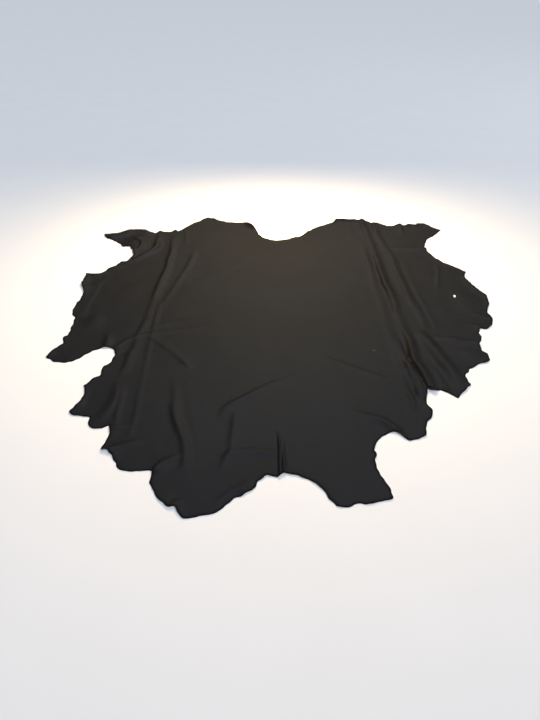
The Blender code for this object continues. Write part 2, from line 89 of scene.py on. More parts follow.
# %% The edge, one stretch at a time
# Each row is x, y and bow: where an arc of the edge starts, and how far it bows out (+) or in (-).
OUTLINE = {
    "left rump": [
        (-3.0, 228.5, -3.2), (-16.2, 243.6, 0.3), (-22.8, 255.3, 0.5), (-29.0, 259.8, 0.0),
        (-38.0, 260.6, 0.0), (-46.0, 264.2, 0.0), (-54.5, 268.3, 1.2), (-74.0, 244.0, 0.0),
    ],
    "left hind shank": [
        (-76.0, 247.0, -3.4), (-87.5, 245.7, 0.0), (-89.8, 241.2, -1.2), (-98.0, 247.2, 0.3),
        (-108.5, 247.0, 0.3), (-118.5, 240.2, 0.0), (-120.0, 241.8, 0.0), (-123.5, 239.2, 0.0),
        (-126.7, 240.0, 1.7), (-118.8, 230.3, -0.4), (-108.5, 218.9, 0.0), (-104.0, 219.0, -0.5),
        (-98.5, 207.0, 0.1), (-101.7, 197.0, 0.0),
    ],
    "left belly": [
        (-105.5, 196.8, -1.3), (-111.6, 187.3, -0.9), (-114.8, 178.8, -0.2), (-123.3, 179.6, -1.0),
        (-122.8, 166.8, -1.0), (-117.9, 154.0, 1.0), (-118.3, 133.0, 0.0), (-115.6, 131.0, 0.0),
        (-114.4, 112.5, 0.0), (-116.5, 112.0, 0.0), (-115.0, 106.0, 0.2),
    ],
    "left fore shank": [
        (-120.2, 94.3, 1.1), (-109.0, 89.2, 1.0), (-101.0, 95.3, -0.7), (-92.7, 101.8, -2.4),
        (-85.0, 95.0, -0.4), (-87.3, 87.9, 0.0),
    ],
    "left neck": [
        (-89.3, 86.9, -0.2), (-88.7, 79.6, 0.0), (-91.3, 77.6, -0.2), (-94.8, 71.5, -0.8),
        (-92.3, 63.8, -0.9), (-96.0, 54.8, 0.3), (-94.5, 52.5, 0.0), (-85.8, 51.0, 0.0), (-85.4, 46.3, 0.2),
        (-82.8, 43.9, 0.4), (-76.2, 46.0, -1.0), (-76.5, 31.9, 0.0), (-73.2, 31.7, -0.3),
        (-68.0, 23.4, 0.6), (-63.5, 20.8, 0.4), (-55.0, 21.3, 0.0),
    ],
    "left cheek": [
        (-53.2, 20.6, 0.2), (-53.0, 14.8, 0.7), (-46.2, 5.3, 0.0), (-44.2, 3.6, 0.0), (-42.3, 4.4, 0.0),
        (-39.3, 0.3, 0.9), (-34.7, -0.5, 0.1), (-26.0, 2.0, 0.4), (-20.3, 8.2, 0.4), (-15.2, 10.4, 0.5),
        (-12.3, 13.6, 0.0), (-11.9, 16.0, 0.3), (-8.3, 18.5, 0.0),
    ],
    "neck end": [
        (-3.4, 17.9, 0.0), (-1.8, 19.6, 0.0), (0.0, 19.8, -0.9),
    ],
    "right cheek": [
        (12.9, 12.6, 0.1), (17.2, 4.2, 1.1), (24.8, 5.3, 0.0), (26.4, 5.9, 0.0), (27.7, 5.2, 0.3),
        (33.1, 6.5, 0.0), (37.4, 7.3, 0.4), (39.0, 9.5, 0.2), (38.6, 12.6, -0.1), (35.0, 22.3, -0.3),
        (36.1, 28.9, 0.0), (35.2, 31.0, -2.4), (46.2, 42.1, -0.5), (50.1, 37.6, 0.3), (53.1, 37.2, 0.0),
    ],
    "right neck": [
        (58.5, 39.8, 0.0), (61.0, 47.9, 0.6), (65.8, 55.8, -0.7), (63.7, 60.2, 0.0),
    ],
    "right fore shank": [
        (66.3, 69.4, 0.0), (68.6, 67.7, 0.0), (72.5, 69.0, -0.4), (78.5, 63.2, 0.0), (88.0, 73.2, -0.2),
        (86.7, 79.1, -1.3), (98.4, 88.8, 0.3), (103.3, 92.0, -0.3), (103.7, 97.1, -0.2),
        (100.9, 99.8, -0.8), (105.3, 111.5, 0.2), (104.8, 115.1, -0.2), (107.1, 118.7, 0.0),
    ],
    "right belly": [
        (110.3, 118.7, 1.7), (116.7, 131.1, -0.2), (115.7, 136.1, 1.4), (121.3, 153.5, -0.5),
        (115.4, 170.6, 0.0), (114.8, 174.0, -0.4), (118.0, 183.0, 0.8), (106.9, 195.5, -0.7),
        (100.0, 212.7, 0.3),
    ],
    "right hind shank": [
        (100.1, 220.0, -0.3), (104.3, 230.3, 0.5), (118.5, 247.0, -0.7), (108.5, 257.0, 0.0),
        (103.0, 256.5, 0.0), (101.5, 254.0, 0.0), (96.0, 254.2, 0.0), (92.5, 252.2, 0.0),
        (90.0, 254.2, 0.0), (86.5, 254.3, 0.0), (84.0, 253.2, 0.0), (80.5, 253.5, 0.2),
    ],
    "right rump": [
        (73.5, 260.5, 0.0), (72.0, 258.7, 0.0), (69.5, 258.2, 0.0), (67.0, 261.2, 0.2), (59.5, 261.8, 0.0),
        (50.5, 261.9, 0.0), (43.0, 264.0, -1.0), (36.5, 256.0, 1.3), (21.0, 245.0, 0.0),
        (17.0, 238.3, -1.4),
    ],
}
print(sum(len(stretch) for stretch in OUTLINE.values()), "arcs in", len(OUTLINE), "stretches")

# %% [markdown]
# Each arc is a parabola through its two ends, as deep as its bow says. A little noise across it gives the
# unevenness of a cut made by hand, and averaging each point with its neighbours rounds the corners by a
# few millimetres, as a knife leaves them.

# %% Points along the edge
EDGE_STEP = 0.75
CUT_ROUGHNESS = 0.75
CUT_ROUGHNESS_SIZE = 3.4

# The cut's noise: how fast its finer waves weaken, how much finer each is, and how many there are.
CUT_WAVES = (0.6, 2.2, 4)


def edge_points():
    """The outline as an array of points about EDGE_STEP apart."""
    rows = [row for stretch in OUTLINE.values() for row in stretch]
    points = []
    for (x0, y0, bow), (x1, y1, _) in zip(rows, rows[1:] + rows[:1]):
        chord = math.hypot(x1 - x0, y1 - y0)
        out_x = (y1 - y0) / chord
        out_y = (x0 - x1) / chord
        count = max(2, round(chord / EDGE_STEP))
        for step in range(count):
            t = step / count
            x = x0 + (x1 - x0) * t
            y = y0 + (y1 - y0) * t
            push = 4.0 * bow * t * (1.0 - t)
            push += CUT_ROUGHNESS * noise.fractal(Vector((x, y, 0.0)) / CUT_ROUGHNESS_SIZE, *CUT_WAVES)
            points.append((x + out_x * push, y + out_y * push))
    points = np.array(points)
    return (np.roll(points, 1, axis=0) + 2.0 * points + np.roll(points, -1, axis=0)) / 4.0


edge = edge_points()
edge_length = np.hypot(*(edge - np.roll(edge, 1, axis=0)).T).sum() / 100.0
print(len(edge), "points along", round(edge_length, 1), "m of edge")

# %% [markdown]
# ## The hole
#
# One small flaw goes right through the belly: a slit that opened to a slanting oval when the hide was
# stretched. It is cut through the mesh and not painted on, because the pale floor shows in it.

# %% The rim of the hole
HOLE_X = 102.3
HOLE_Y = 153.0
HOLE_HALF_LENGTH = 1.9
HOLE_HALF_WIDTH = 0.75
HOLE_LEAN = math.radians(16.0)
HOLE_CORNERS = 28


def hole_points():
    """The rim of the hole: a slanting oval."""
    angle = np.arange(HOLE_CORNERS) * math.tau / HOLE_CORNERS
    along = HOLE_HALF_LENGTH * np.sin(angle)
    across = HOLE_HALF_WIDTH * np.cos(angle)
    return np.column_stack([
        HOLE_X + across * math.cos(HOLE_LEAN) + along * math.sin(HOLE_LEAN),
        HOLE_Y - across * math.sin(HOLE_LEAN) + along * math.cos(HOLE_LEAN),
    ])


hole = hole_points()
print("hole", 20 * HOLE_HALF_WIDTH, "by", 20 * HOLE_HALF_LENGTH, "mm")

# %% [markdown]
# ## The folds
#
# The hide was stored folded along both flanks, and laid out again it keeps a soft ridge where each fold
# was. Cloth simulation would relax these ridges into waves of its own choosing, so they are listed
# instead: each fold is a route from the near end to the far end with a height at every row, and two
# flank widths, of which the narrow one is the steep side. These are the folds of the imported model, a
# few of them some millimetres higher or lower here.

# %% The folds of the imported model
# Each fold has its left and right flank's width, and rows of x, y and height along its crest.
FOLDS = {
    "left long fold": (2.0, 4.8, [
        (-79.5, 78.0, 0.0), (-77.8, 88.0, 0.4), (-78.0, 96.0, 0.5), (-77.0, 104.0, 0.4),
        (-77.6, 112.0, 0.35), (-76.6, 120.0, 0.6), (-75.6, 130.0, 0.3), (-75.5, 146.0, 0.3),
        (-75.4, 158.0, 0.8), (-74.8, 170.0, 0.95), (-73.9, 182.0, 1.0), (-73.9, 194.0, 0.95),
        (-74.0, 206.0, 0.8), (-75.0, 220.0, 0.6), (-75.8, 238.0, 0.0),
    ]),
    "left short fold": (1.7, 4.4, [
        (-70.4, 138.0, 0.0), (-68.4, 148.0, 0.15), (-66.5, 158.0, 0.2), (-65.0, 169.0, 0.25),
        (-62.8, 180.0, 0.3), (-60.6, 192.0, 0.35), (-59.4, 204.0, 0.3), (-58.4, 216.0, 0.0),
    ]),
    "left slanting fold": (1.9, 4.0, [
        (-45.4, 84.4, 0.0), (-48.9, 89.0, 0.5), (-53.0, 93.4, 0.4), (-58.4, 99.5, 0.3), (-63.5, 105.2, 0.3),
        (-70.0, 110.4, 0.2), (-76.0, 112.5, 0.0),
    ]),
    "left neck fold": (2.2, 4.2, [
        (-41.4, 20.0, 0.0), (-41.4, 26.0, 0.5), (-42.2, 31.5, 0.6), (-43.6, 37.5, 0.6), (-46.0, 44.0, 0.7),
        (-48.6, 50.0, 0.6), (-50.0, 57.0, 0.6), (-50.8, 64.0, 0.25), (-52.6, 72.0, 0.1), (-54.4, 84.0, 0.0),
    ]),
    "neck arc": (1.7, 5.6, [
        (-28.9, 49.0, 0.0), (-28.4, 53.8, 0.25), (-25.7, 58.5, 0.5), (-19.2, 63.8, 0.6), (-10.8, 69.8, 0.5),
        (-4.8, 74.4, 0.4), (0.8, 77.1, 0.3), (8.8, 82.5, 0.0),
    ]),
    "neck upright": (1.9, 3.8, [
        (-26.8, 20.0, 0.0), (-25.2, 26.5, 0.4), (-22.9, 32.0, 0.35), (-22.6, 39.0, 0.37),
        (-22.4, 47.0, 0.47), (-22.4, 57.0, 0.0),
    ]),
    "neck pleat": (1.0, 1.0, [
        (-3.0, 17.0, 0.8), (-3.0, 26.0, 0.8), (-2.9, 33.0, 0.8), (-3.2, 38.0, 0.4), (-3.5, 44.0, 0.0),
    ]),
    "right near slant": (5.0, 1.9, [
        (48.9, 38.7, 1.1), (47.1, 43.2, 1.1), (43.3, 48.1, 1.0), (39.7, 50.5, 0.8), (35.4, 52.4, 0.5),
        (26.2, 55.2, 0.0),
    ]),
    "right far slant": (4.5, 1.6, [
        (49.7, 76.9, 0.0), (43.7, 80.2, 0.3), (36.0, 84.5, 0.35), (27.5, 89.6, 0.3), (16.2, 95.9, 0.0),
    ]),
    "right back fold": (2.8, 4.6, [
        (56.4, 65.0, 0.3), (56.0, 80.0, 0.4), (56.8, 99.0, 0.35), (56.4, 118.0, 0.2), (57.0, 142.0, 0.3),
        (56.8, 158.0, 0.25), (57.3, 178.0, 0.45), (56.9, 200.0, 0.6), (57.4, 214.0, 0.3),
        (57.0, 228.0, 0.0),
    ]),
    "right inner fold": (4.2, 1.8, [
        (64.6, 66.5, 0.8), (63.4, 75.0, 1.4), (62.6, 81.0, 1.5), (61.7, 88.0, 1.4), (61.0, 95.0, 0.8),
        (60.3, 102.0, 0.5), (59.8, 112.0, 0.0),
    ]),
    "right long fold": (2.4, 4.8, [
        (67.6, 66.5, 2.2), (66.4, 75.0, 2.6), (65.6, 82.0, 2.5), (64.8, 89.0, 2.4), (64.7, 96.0, 2.1),
        (65.2, 104.0, 1.3), (65.4, 113.0, 0.8), (64.6, 124.0, 0.5), (64.3, 134.0, 0.5), (64.4, 144.0, 0.9),
        (64.0, 156.0, 1.4), (63.4, 168.0, 1.5), (63.2, 180.0, 1.4), (63.0, 192.0, 1.2), (62.9, 208.0, 0.8),
        (63.1, 222.0, 0.6), (62.4, 238.0, 0.8), (62.0, 262.0, 1.0),
    ]),
    "right outer fold": (2.5, 4.8, [
        (76.6, 116.0, 0.0), (76.5, 126.0, 0.3), (76.3, 136.0, 0.4), (74.6, 148.0, 0.7), (74.0, 160.0, 0.75),
        (73.6, 174.0, 0.75), (73.2, 187.0, 0.7), (73.7, 198.0, 0.6), (73.0, 209.0, 0.7), (71.1, 222.0, 0.5),
        (69.9, 236.0, 0.6), (70.4, 257.0, 1.0),
    ]),
    "right shank fold": (5.2, 4.8, [
        (83.5, 68.0, 0.4), (82.0, 76.0, 0.9), (80.4, 84.0, 1.6), (78.4, 93.0, 1.9), (76.6, 101.0, 1.6),
        (74.4, 109.0, 1.0), (73.0, 118.0, 0.0),
    ]),
    "right hind crease": (1.6, 6.5, [
        (71.0, 219.5, 0.0), (79.4, 217.3, 0.6), (88.0, 216.0, 0.8), (100.5, 215.6, 0.7),
    ]),
    "right fore crease": (6.0, 1.6, [
        (102.0, 104.6, 1.1), (94.5, 107.2, 1.2), (87.2, 110.2, 0.9), (78.5, 112.0, 0.0),
    ]),
    "right belly wrinkle": (1.3, 2.2, [
        (94.0, 161.0, 0.0), (97.4, 174.0, 0.4), (100.8, 186.0, 0.3), (102.0, 195.0, 0.0),
    ]),
    "left hind fold": (2.8, 4.6, [
        (-101.0, 196.0, 0.4), (-94.5, 202.5, 0.7), (-89.4, 209.0, 1.3), (-86.0, 216.0, 2.0),
        (-85.6, 222.0, 1.8), (-86.0, 232.0, 0.5), (-86.5, 246.0, 0.0),
    ]),
    "left shank ridge": (3.2, 2.2, [
        (-104.0, 234.0, 0.3), (-99.5, 228.5, 0.8), (-95.8, 223.5, 1.0), (-96.0, 217.0, 0.7),
        (-99.0, 211.0, 0.0),
    ]),
    "left shank rim": (9.0, 6.5, [
        (-91.0, 235.0, 0.0), (-98.5, 242.0, 1.1), (-107.5, 242.6, 1.4), (-116.5, 237.2, 1.2),
        (-125.0, 236.0, 0.7),
    ]),
    "left bay fold": (2.4, 4.0, [
        (-91.6, 101.0, 1.2), (-92.2, 107.0, 0.7), (-94.0, 116.0, 0.0),
    ]),
    "left lobe ridge": (4.2, 3.0, [
        (-81.0, 50.5, 0.3), (-78.7, 56.5, 0.45), (-77.5, 63.5, 0.5), (-77.9, 70.0, 0.4), (-79.0, 77.0, 0.0),
    ]),
}
print(len(FOLDS), "folds")

# %% [markdown]
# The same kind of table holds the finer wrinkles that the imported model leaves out: creases that run in
# from the edge, the crossing lines on the shoulder and the puckers beside the deep fold. Low swells are
# ovals, and the turned-up stretches of the edge rise towards the rim.

# %% Wrinkles, swells and turned-up edges
WRINKLES = {
    "bay line": (1.4, 2.4, [
        (-85.6, 102.5, 0.5), (-82.4, 108.0, 0.5), (-78.0, 111.6, 0.4), (-72.0, 114.4, 0.3),
        (-60.0, 116.6, 0.25), (-49.0, 119.2, 0.2), (-39.0, 122.5, 0.0),
    ]),
    "shoulder line": (1.6, 2.8, [
        (-38.0, 128.0, 0.0), (-50.0, 127.0, 0.12), (-62.0, 124.5, 0.16), (-73.0, 119.5, 0.12),
    ]),
    "bay crease, short": (1.2, 1.8, [(-84.0, 100.5, 0.3), (-79.5, 101.5, 0.0)]),
    "left flank line": (1.6, 3.0, [
        (-73.0, 44.0, 0.0), (-74.8, 52.0, 0.25), (-74.9, 60.0, 0.3), (-75.2, 68.0, 0.3), (-77.0, 77.0, 0.0),
    ]),
    "left flank line, inner": (1.5, 2.8, [
        (-66.0, 34.0, 0.0), (-66.3, 45.0, 0.16), (-66.7, 56.0, 0.2), (-67.7, 70.0, 0.15),
        (-68.2, 84.0, 0.15), (-69.2, 97.0, 0.25), (-69.8, 110.0, 0.15), (-70.3, 122.0, 0.2),
        (-70.8, 138.0, 0.25), (-71.6, 150.0, 0.0),
    ]),
    "left neck line": (1.5, 2.6, [
        (-47.0, 76.0, 0.0), (-45.4, 68.0, 0.04), (-42.0, 56.0, 0.05), (-39.4, 46.0, 0.06),
        (-37.8, 38.0, 0.05), (-37.0, 24.0, 0.0),
    ]),
    "left belly line": (2.0, 14.0, [
        (-103.5, 186.0, 0.0), (-110.8, 170.0, 0.25), (-111.4, 158.0, 0.25), (-112.0, 148.0, 0.25),
        (-112.0, 138.0, 0.3), (-110.5, 127.0, 0.0),
    ]),
    "left neck crease": (1.4, 4.5, [
        (-76.0, 31.5, 0.7), (-70.5, 33.8, 0.7), (-65.6, 35.6, 0.5), (-59.0, 37.5, 0.0),
    ]),
    "left neck nick": (1.3, 2.4, [
        (-76.6, 44.2, 0.6), (-71.5, 44.8, 0.5), (-66.0, 46.0, 0.0),
    ]),
    "left cheek crease": (1.4, 3.5, [
        (-52.4, 21.2, 0.9), (-50.2, 25.0, 0.8), (-46.2, 27.9, 0.5), (-42.5, 29.5, 0.0),
    ]),
    "left cheek crease, near": (1.2, 1.6, [
        (-50.8, 20.5, 0.5), (-48.2, 23.0, 0.4), (-45.0, 24.8, 0.0),
    ]),
    "left cheek line": (1.8, 1.4, [(-43.2, 4.8, 0.3), (-38.8, 7.0, 0.3), (-33.5, 7.2, 0.0)]),
    "left cheek rim": (2.8, 1.6, [
        (-28.0, 4.6, 0.0), (-25.0, 7.2, 0.35), (-20.6, 11.0, 0.4), (-16.0, 13.7, 0.35), (-12.6, 18.5, 0.0),
    ]),
    "neck cross line": (4.6, 1.4, [
        (-4.9, 30.8, 0.45), (-12.3, 31.7, 0.48), (-18.1, 31.5, 0.45), (-23.2, 30.5, 0.25),
    ]),
    "neck pleat, second": (0.9, 1.3, [
        (-1.7, 17.0, 0.9), (-1.6, 24.0, 1.0), (-1.7, 31.0, 0.6), (-1.8, 37.0, 0.15), (-1.8, 42.0, 0.0),
    ]),
    "right neck pucker, near": (1.6, 2.6, [
        (53.5, 52.0, 0.0), (56.5, 57.0, 0.55), (57.6, 63.0, 0.7), (56.4, 70.0, 0.0),
    ]),
    "right neck pucker, far": (1.8, 2.4, [
        (62.5, 55.0, 0.0), (61.8, 62.0, 0.6), (61.0, 70.0, 0.5), (59.8, 78.0, 0.0),
    ]),
    "right neck dent": (2.2, 1.8, [
        (58.5, 74.0, 0.0), (60.8, 79.0, 0.4), (60.6, 86.0, 0.4), (59.6, 93.0, 0.0),
    ]),
    "right outer line": (2.2, 4.0, [
        (82.6, 114.0, 0.0), (82.4, 124.0, 0.15), (81.4, 148.0, 0.18), (80.6, 166.0, 0.18),
        (80.4, 190.0, 0.12), (80.0, 204.0, 0.0),
    ]),
    "right shank pucker": (2.0, 2.6, [(75.0, 68.5, 0.7), (74.2, 75.0, 0.4), (72.6, 86.0, 0.0)]),
    "right cheek line": (1.2, 1.6, [(37.5, 30.5, 0.25), (32.0, 31.0, 0.16), (27.0, 30.0, 0.0)]),
    "right belly crease": (1.8, 2.4, [(108.0, 120.0, 0.4), (103.0, 123.0, 0.3), (98.0, 124.0, 0.0)]),
    "right belly crease, far": (1.6, 3.0, [(116.5, 128.5, 0.3), (110.0, 131.5, 0.3), (104.0, 135.0, 0.0)]),
    "right hind rim line": (2.2, 3.0, [(89.4, 256.0, 0.7), (89.2, 248.0, 0.6), (88.6, 238.0, 0.0)]),
    "right rump line": (1.6, 2.8, [(50.5, 222.0, 0.0), (51.5, 240.0, 0.1), (52.0, 256.0, 0.15)]),
    "left rump flap line": (1.6, 2.4, [(-18.5, 243.0, 0.0), (-25.0, 249.0, 0.3), (-33.0, 253.0, 0.0)]),
    "back line, left": (2.2, 3.0, [
        (-39.0, 182.0, 0.0), (-32.0, 190.0, 0.12), (-25.0, 200.0, 0.12), (-20.0, 208.0, 0.0),
    ]),
    "left shank cross line": (1.6, 2.2, [(-104.0, 224.0, 0.3), (-100.0, 228.0, 0.3), (-97.0, 236.0, 0.0)]),
    "left shank tip line": (1.8, 2.4, [(-108.0, 234.0, 0.0), (-113.0, 236.5, 0.3), (-120.0, 238.0, 0.3)]),
    "left rump line": (1.6, 2.4, [(-65.5, 222.0, 0.0), (-67.0, 234.0, 0.25), (-69.0, 246.0, 0.2)]),
}

# Low swells: middle x and y, half-widths along x and y, and height.
SWELLS = {
    "right neck bump, far": (58.5, 82.0, 3.5, 5.0, 0.6),
    "right neck bump, near": (62.0, 68.0, 3.5, 6.0, 0.6),
    "left hind shank": (-100.0, 224.0, 15.0, 20.0, 1.3),
    "left belly bump": (-104.0, 127.0, 8.0, 11.0, 0.5),
    "right fore shank": (94.0, 97.0, 9.0, 9.0, 0.5),
    "right belly": (108.0, 146.0, 12.0, 22.0, 0.6),
}

# Turned-up stretches of the edge: x and y of the middle, reach along the edge, width and lift.
CURLS = {
    "left rump flap": (-21.5, 252.5, 13.0, 4.5, 2.4),
    "left rump tip": (-54.0, 266.0, 13.0, 4.5, 0.7),
    "right rump": (52.0, 263.0, 24.0, 3.6, 1.9),
    "left hind shank bay": (-99.5, 210.0, 9.0, 4.0, 1.2),
    "left belly": (-121.0, 170.0, 24.0, 6.0, 1.4),
    "left lobe": (-94.0, 62.0, 14.0, 4.0, 0.7),
    "right hind shank": (97.0, 254.0, 22.0, 5.0, 1.2),
    "right belly": (117.0, 160.0, 26.0, 5.0, 0.6),
    "left cheek": (-44.0, 6.0, 12.0, 4.0, 0.5),
}
print(len(WRINKLES), "wrinkles,", len(SWELLS), "swells,", len(CURLS), "turned-up stretches")

# %% [markdown]
# A fold's cross-section is half a cosine wave, the shape that a stiff, soft sheet takes when it is pushed
# together: flat at its feet and round at its crest. Noise makes each crest wander a few millimetres and
# rise unevenly, as no fold in leather is ruled. Heights only ever add up from zero, so the sheet is
# raised where a fold, a swell or a turned-up edge is, and lies on the floor everywhere else.

# %% How high the sheet stands
CREST_STEP = 2.0
WANDER = 0.15
MOST_WANDER = 0.6
WANDER_SIZE = 11.0
UNEVEN = 0.35
UNEVEN_SIZE = 8.0
UNEVEN_SLICE = 9.0

# The vector noise starts at a random place unless it is given a seed.
WANDER_SEED = 5
noise.seed_set(WANDER_SEED)
edge_tree = kdtree.KDTree(len(edge))
for number, (x, y) in enumerate(edge):
    edge_tree.insert((x, y, 0.0), number)
edge_tree.balance()


def smooth_route(rows, step):
    """A smooth curve through the rows, as rows of x, y and height about `step` apart."""
    rows = np.array(rows)
    ends = np.vstack([2 * rows[0] - rows[1], rows, 2 * rows[-1] - rows[-2]])
    route = []
    for a, b, c, d in zip(ends, ends[1:], ends[2:], ends[3:]):
        count = max(1, round(math.dist(b[:2], c[:2]) / step))
        for t in np.arange(count) / count:
            route.append(0.5 * (2 * b + (c - a) * t + (2 * a - 5 * b + 4 * c - d) * t ** 2
                                + (3 * b - a - 3 * c + d) * t ** 3))
    route.append(rows[-1])
    return np.array(route)


def nearest(points, line):
    """Distance from each point to a line of x, y and value rows, the side it is on, and the value there."""
    best = np.full(len(points), np.inf)
    side = np.ones(len(points))
    value = np.zeros(len(points))
    for a, b in zip(line, line[1:]):
        run = b[:2] - a[:2]
        away = points - a[:2]
        t = np.clip(away @ run / (run @ run), 0.0, 1.0)
        gap = away - t[:, None] * run
        distance = np.hypot(gap[:, 0], gap[:, 1])
        closer = distance < best
        best[closer] = distance[closer]
        side[closer] = np.sign(run[0] * away[:, 1] - run[1] * away[:, 0])[closer]
        value[closer] = (a[-1] + t * (b[-1] - a[-1]))[closer]
    return best, side, value


def hump(share):
    """A soft hump: 1 where share is 0, falling to 0 where it reaches 1."""
    return 0.5 + 0.5 * np.cos(math.pi * np.clip(share, 0.0, 1.0))


def distance_from_edge(points):
    """Distance from each point to the outline."""
    after = np.roll(edge, -1, axis=0)
    found = np.array([edge_tree.find((x, y, 0.0))[1] for x, y in points])
    best = np.full(len(points), np.inf)
    for start in (found, (found - 1) % len(edge)):
        a = edge[start]
        run = after[start] - a
        away = points - a
        t = np.clip((away * run).sum(axis=1) / (run * run).sum(axis=1), 0.0, 1.0)
        best = np.minimum(best, np.hypot(*(away - t[:, None] * run).T))
    return best


def wandering(points):
    """Smooth noise that shifts each point, so that what is measured from it is never ruled."""
    return np.array([noise.noise_vector(Vector((x, y, 0.0)) / WANDER_SIZE)[:2] for x, y in points])


def heights(points, from_edge):
    """How high the sheet's underside stands above the floor at each point."""
    total = np.zeros(len(points))
    shift = wandering(points)
    slices = [Vector((x, y, UNEVEN_SLICE)) / UNEVEN_SIZE for x, y in points]
    rise = 1.0 + UNEVEN * np.array([noise.noise(place) for place in slices])
    for left, right, crest in list(FOLDS.values()) + list(WRINKLES.values()):
        moved = points + min(MOST_WANDER, WANDER * max(left, right)) * shift
        route = smooth_route(crest, CREST_STEP)
        low = route[:, :2].min(axis=0) - max(left, right)
        high = route[:, :2].max(axis=0) + max(left, right)
        near = ((moved > low) & (moved < high)).all(axis=1)
        distance, side, height = nearest(moved[near], route)
        total[near] += rise[near] * np.maximum(height, 0.0) * hump(distance / np.where(side > 0, left, right))
    for x, y, half_x, half_y, height in SWELLS.values():
        total += height * hump(np.hypot((points[:, 0] - x) / half_x, (points[:, 1] - y) / half_y))
    for x, y, reach, width, lift in CURLS.values():
        along = np.hypot(points[:, 0] - x, points[:, 1] - y) / reach
        total += lift * hump(along) * np.clip(1.0 - from_edge / width, 0.0, 1.0) ** 2
    return total


corner_heights = heights(edge, np.zeros(len(edge)))
print("the edge stands", round(10 * corner_heights.max(), 1), "mm up at its highest")

# %% [markdown]
# ## The net
#
# The sheet becomes a mesh by laying points over it and joining them into triangles. Points two
# centimetres apart are enough where the leather is flat. Where it is raised, and near its edge, a grid
# twice as fine is added, and a finer one still over the narrow pleats. The constrained Delaunay function
# in mathutils joins them all, and keeps the edge and the rim of the hole as they are.

# %% Points of the net
FLAT_STEP = 1.9
RAISED_STEP = 0.95
PLEAT_STEP = 0.36
PLEAT_WIDTH = 1.35
EDGE_BAND = 3.0

# Least gaps, as shares of a grid's step: to the edge, and to points that are there already.
EDGE_GAP = 0.5
POINT_GAP = 0.7
PLEAT_GAP = 0.6


def inside(points, ring):
    """Which points lie inside a closed ring."""
    found = np.zeros(len(points), dtype=bool)
    for a, b in zip(ring, np.roll(ring, -1, axis=0)):
        if a[1] != b[1]:
            spans = (a[1] > points[:, 1]) != (b[1] > points[:, 1])
            crossing = a[0] + (points[:, 1] - a[1]) * (b[0] - a[0]) / (b[1] - a[1])
            found ^= spans & (points[:, 0] < crossing)
    return found


def grid_over(low, high, step):
    """A grid over a rectangle, every second row shifted by half a step so that its triangles are even."""
    across = np.arange(low[0], high[0], step)
    up = np.arange(low[1], high[1], step * math.sqrt(0.75))
    x, y = np.meshgrid(across, up)
    x[1::2] += step / 2
    return np.column_stack([x.ravel(), y.ravel()])


def on_leather(points, margin):
    """The points that lie on leather, at least a margin from the edge and the hole."""
    points = points[inside(points, edge) & ~inside(points, hole)]
    clear_of_hole = nearest(points, np.vstack([hole, hole[:1]]))[0] > margin
    return points[clear_of_hole & (distance_from_edge(points) > margin)]


def joined(kept, extra, gap):
    """The kept points, and those of the extra ones that are more than a gap away from all of them."""
    tree = kdtree.KDTree(len(kept))
    for number, (x, y) in enumerate(kept):
        tree.insert((x, y, 0.0), number)
    tree.balance()
    apart = np.array([tree.find((x, y, 0.0))[2] for x, y in extra])
    return np.vstack([kept, extra[apart > gap]])


def net_points():
    """All the points: the two rims first, then the grids from the finest to the coarsest."""
    low, high = edge.min(axis=0), edge.max(axis=0)
    pleats = [(max(left, right), smooth_route(crest, CREST_STEP))
              for left, right, crest in list(FOLDS.values()) + list(WRINKLES.values())
              if max(left, right) < PLEAT_WIDTH]
    pleat_low = np.min([route[:, :2].min(axis=0) - reach for reach, route in pleats], axis=0)
    pleat_high = np.max([route[:, :2].max(axis=0) + reach for reach, route in pleats], axis=0)
    finest = on_leather(grid_over(pleat_low, pleat_high, PLEAT_STEP), PLEAT_GAP * PLEAT_STEP)
    finer = on_leather(grid_over(low, high, RAISED_STEP), EDGE_GAP * RAISED_STEP)
    from_edge = distance_from_edge(finer)
    finer = finer[(heights(finer, from_edge) > 0.0) | (from_edge < EDGE_BAND)]
    coarse = on_leather(grid_over(low, high, FLAT_STEP), EDGE_GAP * RAISED_STEP)
    points = joined(np.vstack([edge, hole]), finest, PLEAT_GAP * PLEAT_STEP)
    points = joined(points, finer, POINT_GAP * RAISED_STEP)
    return joined(points, coarse, POINT_GAP * RAISED_STEP)


flat_points = net_points()
print(len(flat_points), "points in the net")

# %% [markdown]
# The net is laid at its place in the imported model: the tables' own middle becomes the origin, and
# centimetres become metres. Each point also keeps its distance from the edge as an attribute, which the
# next step and the materials read.

# %% Lay the net
TABLE_MIDDLE = np.array([-2.7, 133.657])
CM = 0.01
TRIANGLES_INSIDE = 1
SAME_POINT = 1e-6


def lay_net(name):
    """The sheet's underside as a mesh object of triangles."""
    ring = [(i, (i + 1) % len(edge)) for i in range(len(edge))]
    slit = [(len(edge) + i, len(edge) + (i + 1) % len(hole)) for i in range(len(hole))]
    found = delaunay_2d_cdt([Vector(point) for point in flat_points], ring + slit, [], TRIANGLES_INSIDE,
                              SAME_POINT)
    corners = np.array([tuple(corner) for corner in found[0]])
    faces = np.array(found[2])
    middles = corners[faces].mean(axis=1)
    faces = faces[inside(middles, edge) & ~inside(middles, hole)]
    from_edge = distance_from_edge(corners)
    places = np.column_stack([(corners - TABLE_MIDDLE) * CM, heights(corners, from_edge) * CM])
    mesh = bpy.data.meshes.new(name)
    mesh.from_pydata(places.tolist(), [], faces.tolist())
    attribute = mesh.attributes.new("from edge", "FLOAT", "POINT")
    attribute.data.foreach_set("value", from_edge * CM)
    net = bpy.data.objects.new(name, mesh)
    scene.collection.objects.link(net)
    return net


hide_piece = lay_net("leather_hide")
facing_up = sum(face.normal.z > 0 for face in hide_piece.data.polygons)
print(len(hide_piece.data.polygons), "triangles,", facing_up, "of them facing up")

